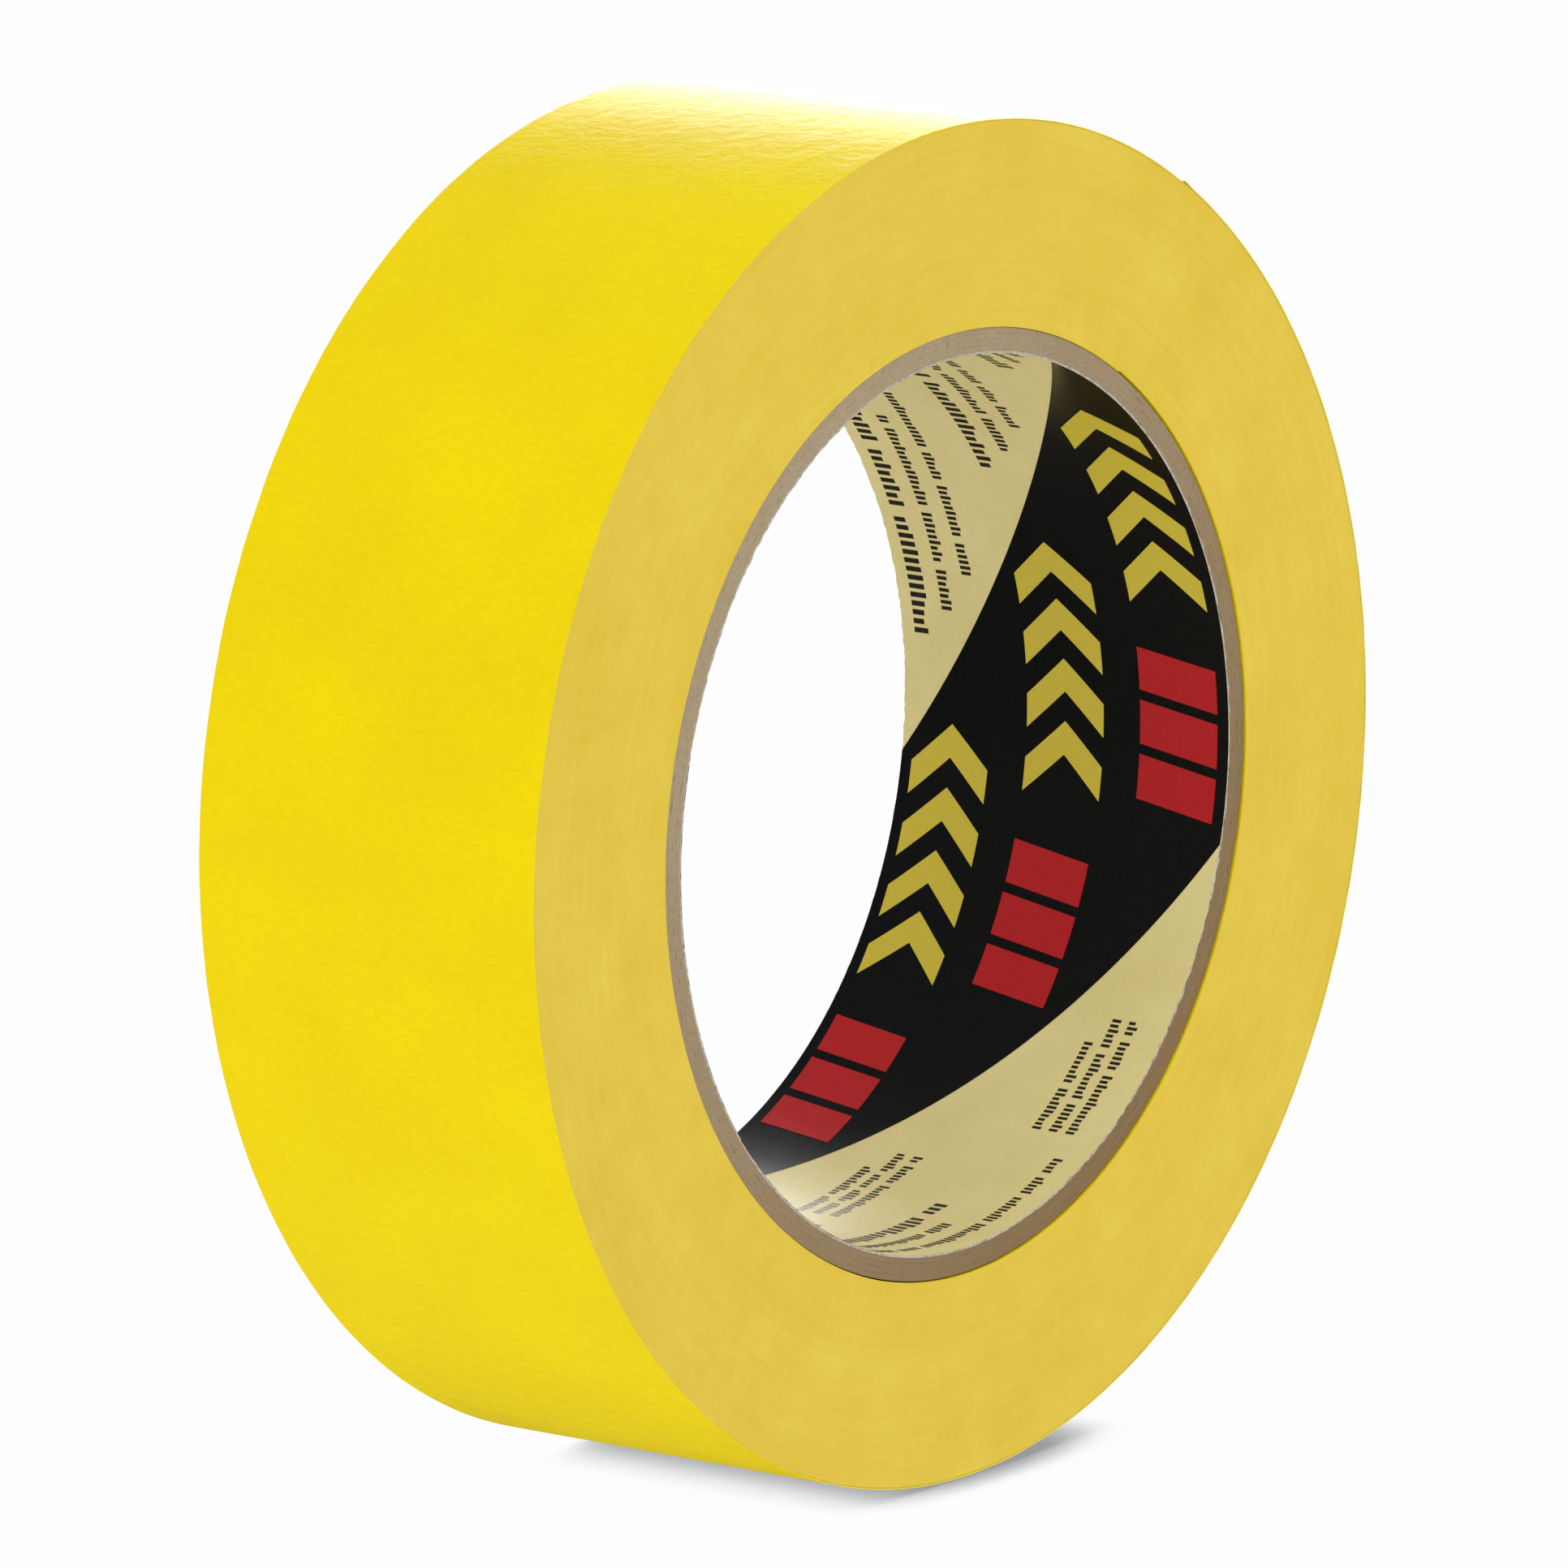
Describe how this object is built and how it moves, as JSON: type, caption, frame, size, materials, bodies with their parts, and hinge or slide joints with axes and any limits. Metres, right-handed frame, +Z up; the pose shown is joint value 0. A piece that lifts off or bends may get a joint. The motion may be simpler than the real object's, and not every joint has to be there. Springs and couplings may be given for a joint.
{
  "type": "masking tape roll",
  "caption": "Roll of yellow creped paper masking tape on a spiral-wound paperboard core, standing on edge, with a free tail that peels back from the roll.",
  "frame": {"origin": "centre of the core's bore, at half the tape's width", "axes": "+Y along the roll's axis, from the front face to the back face; +Z up, with the roll standing on its edge; +X towards the side that carries the free tail"},
  "size_m": [0.1171, 0.0356, 0.117],
  "materials": {
    "printed_paper": "smooth cream paper with a glossy print",
    "core_board": "dense grey-brown board with slit, slightly furry edges",
    "crepe_paper": "bright yellow creped paper, satin on its outer face and matte on its slit edges",
    "adhesive_coat": "thin tacky rubber adhesive with a soft sheen"
  },
  "bodies": {
    "roll": {"core_liner": "printed_paper", "core_ply_1": "core_board", "core_ply_2": "core_board", "core_ply_3": "core_board", "core_ply_4": "core_board", "wound_tape": "crepe_paper", "top_lap_backing": "crepe_paper", "top_lap_adhesive": "adhesive_coat"},
    "tail_1": {"tail_1_backing": "crepe_paper", "tail_1_adhesive": "adhesive_coat"},
    "tail_2": {"tail_2_backing": "crepe_paper", "tail_2_adhesive": "adhesive_coat"},
    "tail_3": {"tail_3_backing": "crepe_paper", "tail_3_adhesive": "adhesive_coat"},
    "tail_4": {"tail_4_backing": "crepe_paper", "tail_4_adhesive": "adhesive_coat"},
    "tail_5": {"tail_5_backing": "crepe_paper", "tail_5_adhesive": "adhesive_coat"},
    "tail_6": {"tail_6_backing": "crepe_paper", "tail_6_adhesive": "adhesive_coat"}
  },
  "joints": [
    {"name": "tail_lift", "type": "hinge", "parent": "roll", "child": "tail_1", "pos_m": [0.05746, 0, 0.01143], "axis": [0, 1, 0], "range_deg": [0, 75], "stiffness_Nm_per_rad": 0.0001},
    {"name": "tail_bend_2", "type": "hinge", "parent": "tail_1", "child": "tail_2", "pos_m": [0.05547, 0, 0.01883], "axis": [0, 1, 0], "range_deg": [0, 15]},
    {"name": "tail_bend_3", "type": "hinge", "parent": "tail_2", "child": "tail_3", "pos_m": [0.05255, 0, 0.02591], "axis": [0, 1, 0], "range_deg": [0, 15]},
    {"name": "tail_bend_4", "type": "hinge", "parent": "tail_3", "child": "tail_4", "pos_m": [0.04872, 0, 0.03255], "axis": [0, 1, 0], "range_deg": [0, 15]},
    {"name": "tail_bend_5", "type": "hinge", "parent": "tail_4", "child": "tail_5", "pos_m": [0.04405, 0, 0.03863], "axis": [0, 1, 0], "range_deg": [0, 15]},
    {"name": "tail_bend_6", "type": "hinge", "parent": "tail_5", "child": "tail_6", "pos_m": [0.03864, 0, 0.04405], "axis": [0, 1, 0], "range_deg": [0, 15]}
  ],
  "couplings": [
    {"joint": "tail_bend_2", "follows": "tail_lift", "ratio": 0.2},
    {"joint": "tail_bend_3", "follows": "tail_lift", "ratio": 0.2},
    {"joint": "tail_bend_4", "follows": "tail_lift", "ratio": 0.2},
    {"joint": "tail_bend_5", "follows": "tail_lift", "ratio": 0.2},
    {"joint": "tail_bend_6", "follows": "tail_lift", "ratio": 0.2}
  ]
}
